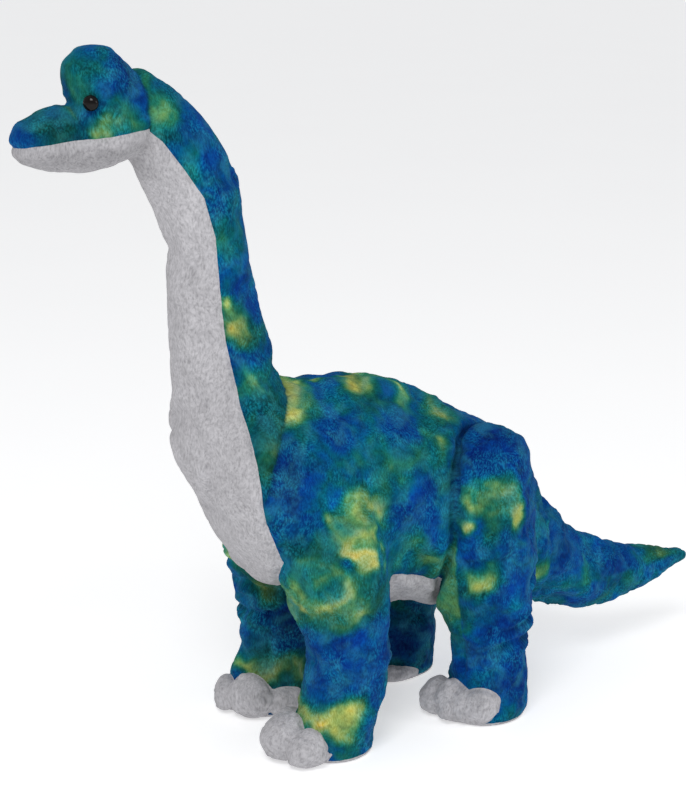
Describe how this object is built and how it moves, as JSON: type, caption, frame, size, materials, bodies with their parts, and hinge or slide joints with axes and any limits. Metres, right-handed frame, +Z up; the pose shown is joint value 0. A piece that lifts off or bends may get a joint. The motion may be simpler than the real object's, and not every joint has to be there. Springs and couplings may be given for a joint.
{
  "type": "stuffed long-necked dinosaur",
  "caption": "Plush long-necked dinosaur with a tie-dye print, grey underside and toe caps, and black eyes, bending softly at the neck, head, tail and legs.",
  "frame": {"origin": "bottom centre of the toy's bounding box, on the floor between its four feet", "axes": "+Z up, -X the way the toy faces (head at -X, tail at +X), +Y to its right side"},
  "size_m": [0.4539, 0.1334, 0.4064],
  "materials": {
    "print": "short-pile plush, tie-dyed in blue, teal, green and yellow",
    "grey": "short-pile plush, light grey",
    "fill": "white polyester fibre fill",
    "black": "polished black",
    "washer": "moulded, white"
  },
  "bodies": {
    "torso": {"body_left_panel": "print", "body_right_panel": "print", "chest_belly_panel": "grey", "body_stuffing": "fill", "hind_left_thigh_panel": "print", "hind_right_thigh_panel": "print", "hind_left_thigh_stuffing": "fill", "hind_right_thigh_stuffing": "fill"},
    "neck": {"throat_panel": "grey", "neck_back_panel": "print", "neck_stuffing": "fill"},
    "head": {"hood_panel": "print", "snout_panel": "print", "jaw_panel": "grey", "head_stuffing": "fill", "left_eye": "black", "right_eye": "black", "left_eye_washer": "washer", "right_eye_washer": "washer"},
    "tail": {"tail_left_panel": "print", "tail_right_panel": "print", "tail_stuffing": "fill"},
    "front_left_leg": {"front_left_leg_outer_panel": "print", "front_left_leg_inner_panel": "print", "front_left_leg_toe_cap": "grey", "front_left_leg_sole": "grey", "front_left_leg_stuffing": "fill"},
    "front_right_leg": {"front_right_leg_outer_panel": "print", "front_right_leg_inner_panel": "print", "front_right_leg_toe_cap": "grey", "front_right_leg_sole": "grey", "front_right_leg_stuffing": "fill"},
    "hind_left_leg": {"hind_left_leg_outer_panel": "print", "hind_left_leg_inner_panel": "print", "hind_left_leg_toe_cap": "grey", "hind_left_leg_sole": "grey", "hind_left_leg_stuffing": "fill"},
    "hind_right_leg": {"hind_right_leg_outer_panel": "print", "hind_right_leg_inner_panel": "print", "hind_right_leg_toe_cap": "grey", "hind_right_leg_sole": "grey", "hind_right_leg_stuffing": "fill"}
  },
  "joints": [
    {"name": "neck_nod", "type": "hinge", "parent": "torso", "child": "neck", "pos_m": [-0.109, 0, 0.205], "axis": [0, 1, 0], "range_deg": [-12, 12], "stiffness_Nm_per_rad": 1.5},
    {"name": "head_nod", "type": "hinge", "parent": "neck", "child": "head", "pos_m": [-0.15, 0, 0.374], "axis": [0, 1, 0], "range_deg": [-12, 12], "stiffness_Nm_per_rad": 0.6},
    {"name": "tail_wag", "type": "hinge", "parent": "torso", "child": "tail", "pos_m": [0.112, 0, 0.084], "axis": [0, 0, 1], "range_deg": [-20, 20], "stiffness_Nm_per_rad": 0.5},
    {"name": "front_left_shoulder", "type": "hinge", "parent": "torso", "child": "front_left_leg", "pos_m": [-0.049, -0.036, 0.1], "axis": [0, 1, 0], "range_deg": [-8, 18], "stiffness_Nm_per_rad": 1.5},
    {"name": "front_right_shoulder", "type": "hinge", "parent": "torso", "child": "front_right_leg", "pos_m": [-0.049, 0.036, 0.1], "axis": [0, 1, 0], "range_deg": [-8, 18], "stiffness_Nm_per_rad": 1.5},
    {"name": "hind_left_hip", "type": "hinge", "parent": "torso", "child": "hind_left_leg", "pos_m": [0.047, -0.043, 0.092], "axis": [0, 1, 0], "range_deg": [-18, 8], "stiffness_Nm_per_rad": 1.5},
    {"name": "hind_right_hip", "type": "hinge", "parent": "torso", "child": "hind_right_leg", "pos_m": [0.047, 0.043, 0.092], "axis": [0, 1, 0], "range_deg": [-18, 8], "stiffness_Nm_per_rad": 1.5}
  ]
}
